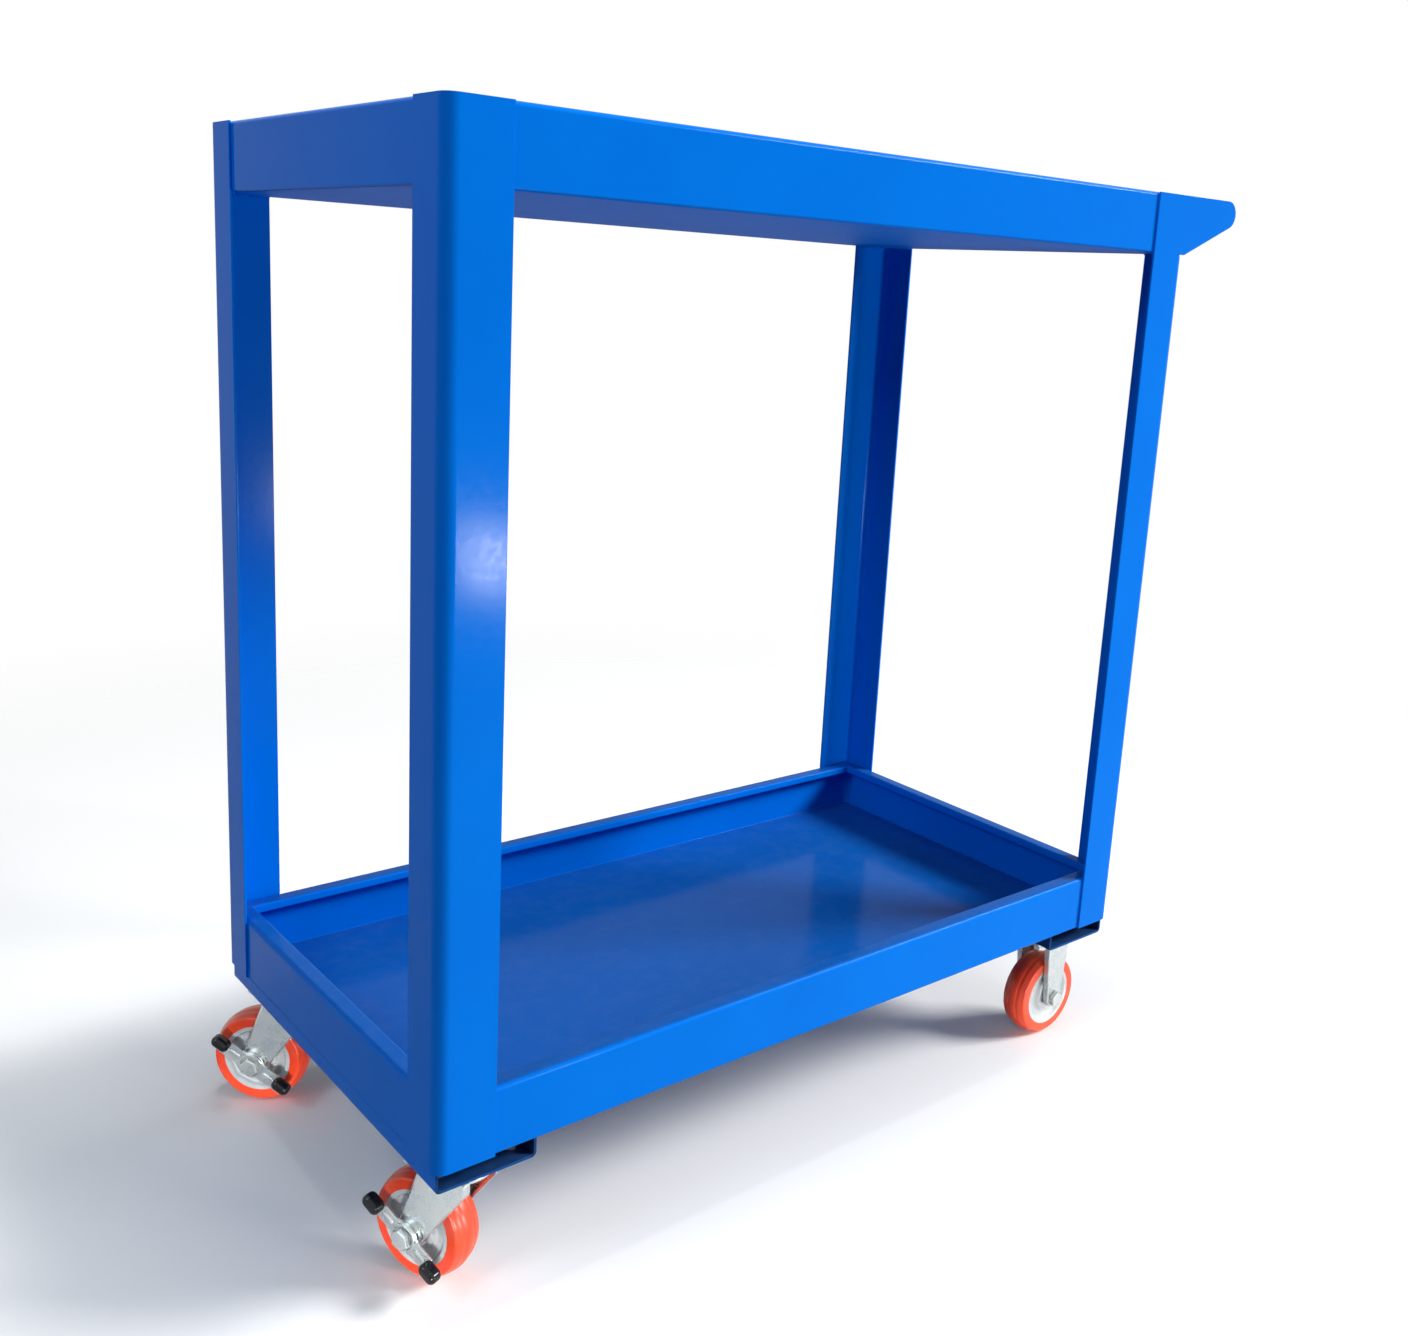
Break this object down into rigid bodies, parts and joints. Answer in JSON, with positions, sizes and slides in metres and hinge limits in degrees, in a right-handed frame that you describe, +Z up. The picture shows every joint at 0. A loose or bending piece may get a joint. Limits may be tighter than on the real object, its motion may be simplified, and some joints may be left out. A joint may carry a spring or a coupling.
{
  "type": "two-tier tool cart",
  "caption": "Two-tier steel tool cart: open trays on angle legs, a push bar at one end, braked swivel casters in front and rigid casters behind.",
  "frame": {"origin": "on the floor, under the middle of the four legs", "axes": "+Z up, +X towards the push bar (rear), +Y towards the right side seen by a person who pushes the cart away from the push bar, so -Y is the left side"},
  "size_m": [1.0215, 0.4806, 1],
  "materials": {
    "blue_powder_coat": "glossy blue powder coat on folded sheet steel",
    "zinc_plate": "bright zinc plating on pressed steel",
    "orange_polyurethane": "cast orange-red polyurethane, semi-gloss",
    "grey_core": "moulded light grey wheel core",
    "black_vinyl": "black dipped vinyl, glossy",
    "bearing_steel": "ground bearing steel"
  },
  "bodies": {
    "frame": {"caster_bolts": "zinc_plate", "caster_channel_front": "blue_powder_coat", "caster_channel_rear": "blue_powder_coat", "caster_nuts": "zinc_plate", "caster_washers": "zinc_plate", "front_left_kingpin": "zinc_plate", "front_left_kingpin_nut": "zinc_plate", "front_left_swivel_balls": "bearing_steel", "front_left_top_plate": "zinc_plate", "front_right_kingpin": "zinc_plate", "front_right_kingpin_nut": "zinc_plate", "front_right_swivel_balls": "bearing_steel", "front_right_top_plate": "zinc_plate", "handle_bar": "blue_powder_coat", "leg_front_left": "blue_powder_coat", "leg_front_right": "blue_powder_coat", "leg_rear_left": "blue_powder_coat", "leg_rear_right": "blue_powder_coat", "lower_tray": "blue_powder_coat", "rear_axle_bolts": "zinc_plate", "rear_axle_nuts": "zinc_plate", "rear_axle_sleeves": "zinc_plate", "rear_axle_spacers": "zinc_plate", "rear_left_fork": "zinc_plate", "rear_left_top_plate": "zinc_plate", "rear_right_fork": "zinc_plate", "rear_right_top_plate": "zinc_plate", "upper_tray": "blue_powder_coat"},
    "front_left_fork": {"front_left_fork": "zinc_plate", "front_left_axle_bolt": "zinc_plate", "front_left_axle_nut": "zinc_plate", "front_left_axle_sleeve": "zinc_plate", "front_left_axle_spacers": "zinc_plate", "front_left_brake_cam": "zinc_plate"},
    "front_left_brake": {"front_left_brake_lever": "zinc_plate", "front_left_brake_caps": "black_vinyl"},
    "front_right_fork": {"front_right_fork": "zinc_plate", "front_right_axle_bolt": "zinc_plate", "front_right_axle_nut": "zinc_plate", "front_right_axle_sleeve": "zinc_plate", "front_right_axle_spacers": "zinc_plate", "front_right_brake_cam": "zinc_plate"},
    "front_right_brake": {"front_right_brake_lever": "zinc_plate", "front_right_brake_caps": "black_vinyl"},
    "front_left_wheel": {"front_left_wheel_core": "grey_core", "front_left_tyre": "orange_polyurethane", "front_left_wheel_bearings": "bearing_steel"},
    "front_right_wheel": {"front_right_wheel_core": "grey_core", "front_right_tyre": "orange_polyurethane", "front_right_wheel_bearings": "bearing_steel"},
    "rear_left_wheel": {"rear_left_wheel_core": "grey_core", "rear_left_tyre": "orange_polyurethane", "rear_left_wheel_bearings": "bearing_steel"},
    "rear_right_wheel": {"rear_right_wheel_core": "grey_core", "rear_right_tyre": "orange_polyurethane", "rear_right_wheel_bearings": "bearing_steel"}
  },
  "joints": [
    {"name": "front_left_swivel", "type": "hinge", "parent": "frame", "child": "front_left_fork", "pos_m": [-0.398, -0.179, 0.125], "axis": [0, 0, 1], "continuous": true},
    {"name": "front_left_wheel_spin", "type": "hinge", "parent": "front_left_fork", "child": "front_left_wheel", "pos_m": [-0.41138, -0.1445, 0.05], "axis": [-0.9323, -0.3616, 0], "continuous": true},
    {"name": "front_left_brake_rock", "type": "hinge", "parent": "front_left_fork", "child": "front_left_brake", "pos_m": [-0.41138, -0.1445, 0.05], "axis": [-0.9323, -0.3616, 0], "range_deg": [0, 28]},
    {"name": "front_right_swivel", "type": "hinge", "parent": "frame", "child": "front_right_fork", "pos_m": [-0.398, 0.179, 0.125], "axis": [0, 0, 1], "continuous": true},
    {"name": "front_right_wheel_spin", "type": "hinge", "parent": "front_right_fork", "child": "front_right_wheel", "pos_m": [-0.42361, 0.2057, 0.05], "axis": [-0.7218, -0.6921, 0], "continuous": true},
    {"name": "front_right_brake_rock", "type": "hinge", "parent": "front_right_fork", "child": "front_right_brake", "pos_m": [-0.42361, 0.2057, 0.05], "axis": [-0.7218, -0.6921, 0], "range_deg": [0, 28]},
    {"name": "rear_left_wheel_spin", "type": "hinge", "parent": "frame", "child": "rear_left_wheel", "pos_m": [0.398, -0.179, 0.05], "axis": [0, 1, 0], "continuous": true},
    {"name": "rear_right_wheel_spin", "type": "hinge", "parent": "frame", "child": "rear_right_wheel", "pos_m": [0.398, 0.179, 0.05], "axis": [0, 1, 0], "continuous": true}
  ]
}
